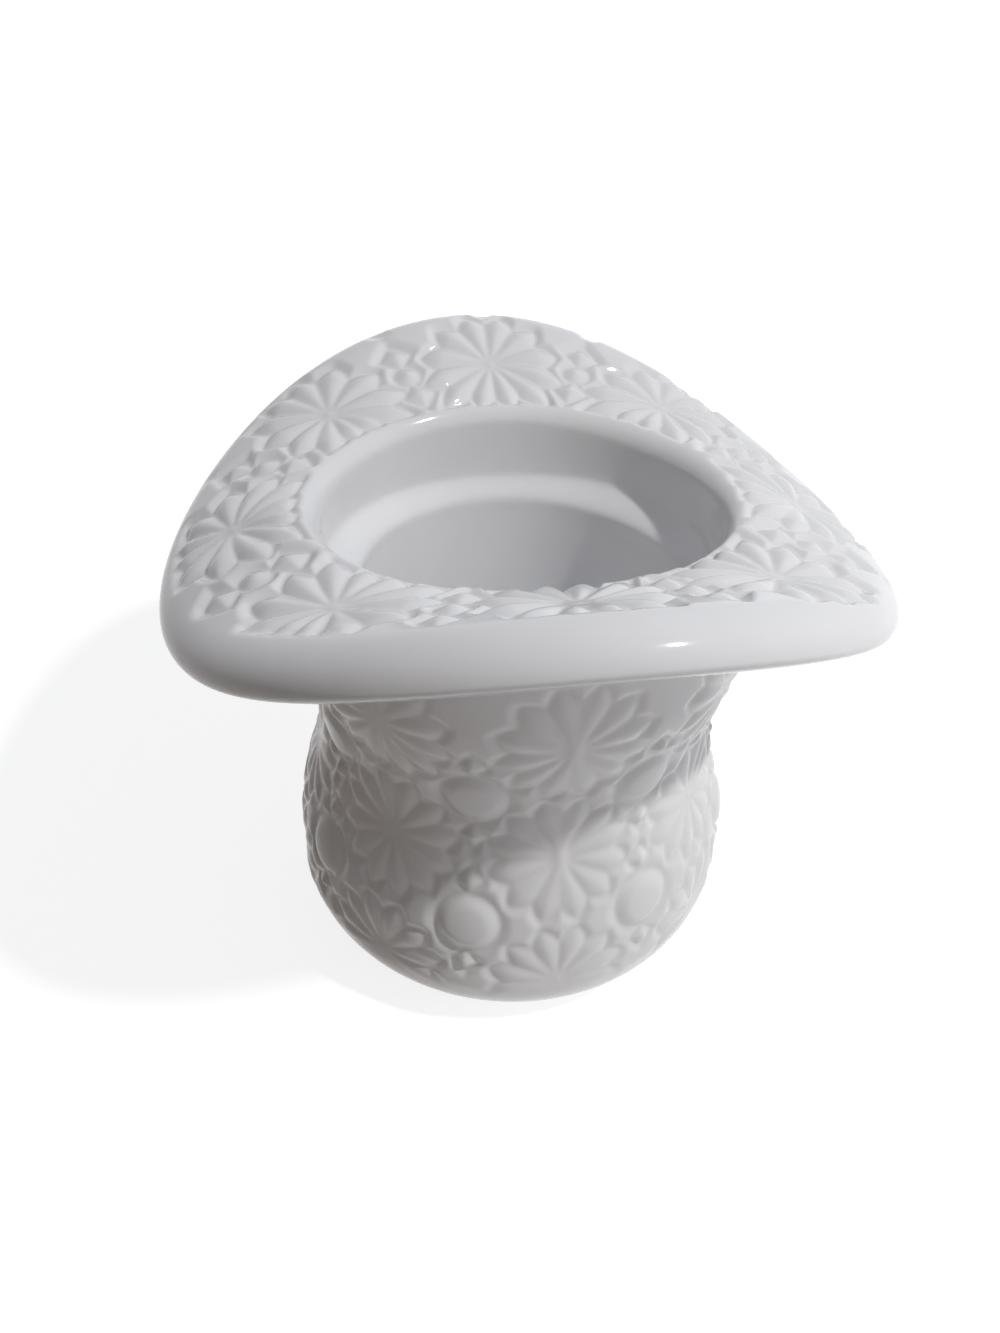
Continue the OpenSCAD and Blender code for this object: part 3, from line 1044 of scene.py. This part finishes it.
        white = nodes.new("ShaderNodeAddShader")
        either = nodes.new("ShaderNodeMixShader")
        leave = nodes.new("ShaderNodeOutputMaterial")
        links.new(pale.outputs["BSDF"], white.inputs[0])
        links.new(glow.outputs["Emission"], white.inputs[1])
        links.new(self.seen(nodes, links), either.inputs["Fac"])
        links.new(plain.outputs["BSDF"], either.inputs[1])
        links.new(white.outputs["Shader"], either.inputs[2])
        links.new(either.outputs["Shader"], leave.inputs["Surface"])
        return material

    def set_lamp(self) -> None:
        """Sets the one near key lamp, to the right of the camera."""
        lamp = bpy.data.lights.new("key", "AREA")
        lamp.shape = "DISK"
        lamp.size = self.key_width * MM
        lamp.energy = self.key_power
        lamp.color = self.key_colour
        key = bpy.data.objects.new("key", lamp)
        bpy.context.scene.collection.objects.link(key)
        turn, rise = math.radians(self.key_azimuth), math.radians(self.key_elevation)
        flat = math.cos(rise)
        toward = Vector((math.cos(turn) * flat, math.sin(turn) * flat, math.sin(rise)))
        key.rotation_mode = "QUATERNION"
        key.rotation_quaternion = (-toward).to_track_quat("-Z", "Y")
        key.location = (Vector(self.key_aim) + toward * self.key_distance) * MM
        key.visible_camera = False

    def set_room(self) -> None:
        """Sets a dim room, brown on the left and cool above, in front of a white backdrop."""
        world = bpy.data.worlds.new("room")
        bpy.context.scene.world = world
        world.use_nodes = True
        nodes, links = world.node_tree.nodes, world.node_tree.links
        place = nodes.new("ShaderNodeTexCoord")
        axes = nodes.new("ShaderNodeSeparateXYZ")
        links.new(place.outputs["Generated"], axes.inputs["Vector"])
        x, y, z = (axes.outputs[name] for name in "XYZ")
        sides = self.fade(nodes, links, x, self.sides_span, self.room_left, self.room_right)
        walls = self.fade(nodes, links, y, self.back_span, sides, self.room_back)
        room = self.fade(nodes, links, z, self.above_span, walls, self.room_above)
        backdrop = nodes.new("ShaderNodeMix")
        backdrop.data_type = "RGBA"
        backdrop.inputs["B"].default_value = (*self.backdrop, 1.0)
        links.new(self.seen(nodes, links), backdrop.inputs["Factor"])
        links.new(room, backdrop.inputs["A"])
        links.new(backdrop.outputs["Result"], nodes["Background"].inputs["Color"])

    @staticmethod
    def seen(nodes: bpy.types.Nodes, links: bpy.types.NodeLinks) -> bpy.types.NodeSocket:
        """Adds a test for the rays that show the background.

        Args:
            nodes: Nodes of the tree to add to.
            links: Links of the tree to add to.

        Returns:
            A value of 1 for rays from the camera, off gloss or through glass, and 0 for others.
        """
        path = nodes.new("ShaderNodeLightPath")
        direct = nodes.new("ShaderNodeMath")
        direct.operation = "MAXIMUM"
        shown = nodes.new("ShaderNodeMath")
        shown.operation = "MAXIMUM"
        links.new(path.outputs["Is Camera Ray"], direct.inputs[0])
        links.new(path.outputs["Is Glossy Ray"], direct.inputs[1])
        links.new(direct.outputs["Value"], shown.inputs[0])
        links.new(path.outputs["Is Transmission Ray"], shown.inputs[1])
        return shown.outputs["Value"]

    @staticmethod
    def fade(
        nodes: bpy.types.Nodes,
        links: bpy.types.NodeLinks,
        value: bpy.types.NodeSocket,
        span: Span,
        low: Colour | bpy.types.NodeSocket,
        high: Colour,
    ) -> bpy.types.NodeSocket:
        """Adds a smooth fade between two colours.

        Args:
            nodes: Nodes of the tree to add to.
            links: Links of the tree to add to.
            value: Output that the fade follows.
            span: Values at which the fade starts and ends.
            low: Colour at the start, or the output that gives it.
            high: Colour at the end.

        Returns:
            The output with the faded colour.
        """
        share = nodes.new("ShaderNodeMapRange")
        share.interpolation_type = "SMOOTHSTEP"
        share.inputs["From Min"].default_value = span[0]
        share.inputs["From Max"].default_value = span[1]
        blend = nodes.new("ShaderNodeMix")
        blend.data_type = "RGBA"
        if isinstance(low, tuple):
            blend.inputs["A"].default_value = (*low, 1.0)
        else:
            links.new(low, blend.inputs["A"])
        blend.inputs["B"].default_value = (*high, 1.0)
        links.new(value, share.inputs["Value"])
        links.new(share.outputs["Result"], blend.inputs["Factor"])
        return blend.outputs["Result"]


def main() -> None:
    """Builds the scene: the studio, then the two pieces of the hat."""
    logging.basicConfig(level=logging.INFO, format="%(name)s: %(message)s")
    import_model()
    bpy.context.scene.view_settings.view_transform = "Standard"
    studio = Studio()
    studio.set_camera()
    studio.set_floor()
    studio.set_lamp()
    studio.set_room()

    form, pattern, effects = HatForm(), StarPattern(), SurfaceEffects()
    crown = Crown(form, pattern).build()
    pressed = MilkGlass("pressed_milk_glass", specular=0.3)
    crown.data.materials.append(pressed.make(effects))
    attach(crown, "root")
    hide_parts("foot", "crown_wall", "crown_stars", "crown_buttons", "crown_studs")
    brim = Brim(form, pattern).build()
    polished = MilkGlass("polished_milk_glass", specular=0.4, roughness=0.07, roughness_swing=0.06)
    brim.data.materials.append(polished.make(effects))
    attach(brim, "root")
    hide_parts("mouth_collar", "brim", "brim_lip", "brim_stars", "brim_buttons")
    for piece in (crown, brim):
        log.info("%s: %d faces", piece.name, len(piece.data.polygons))


if __name__ == "__main__":
    main()
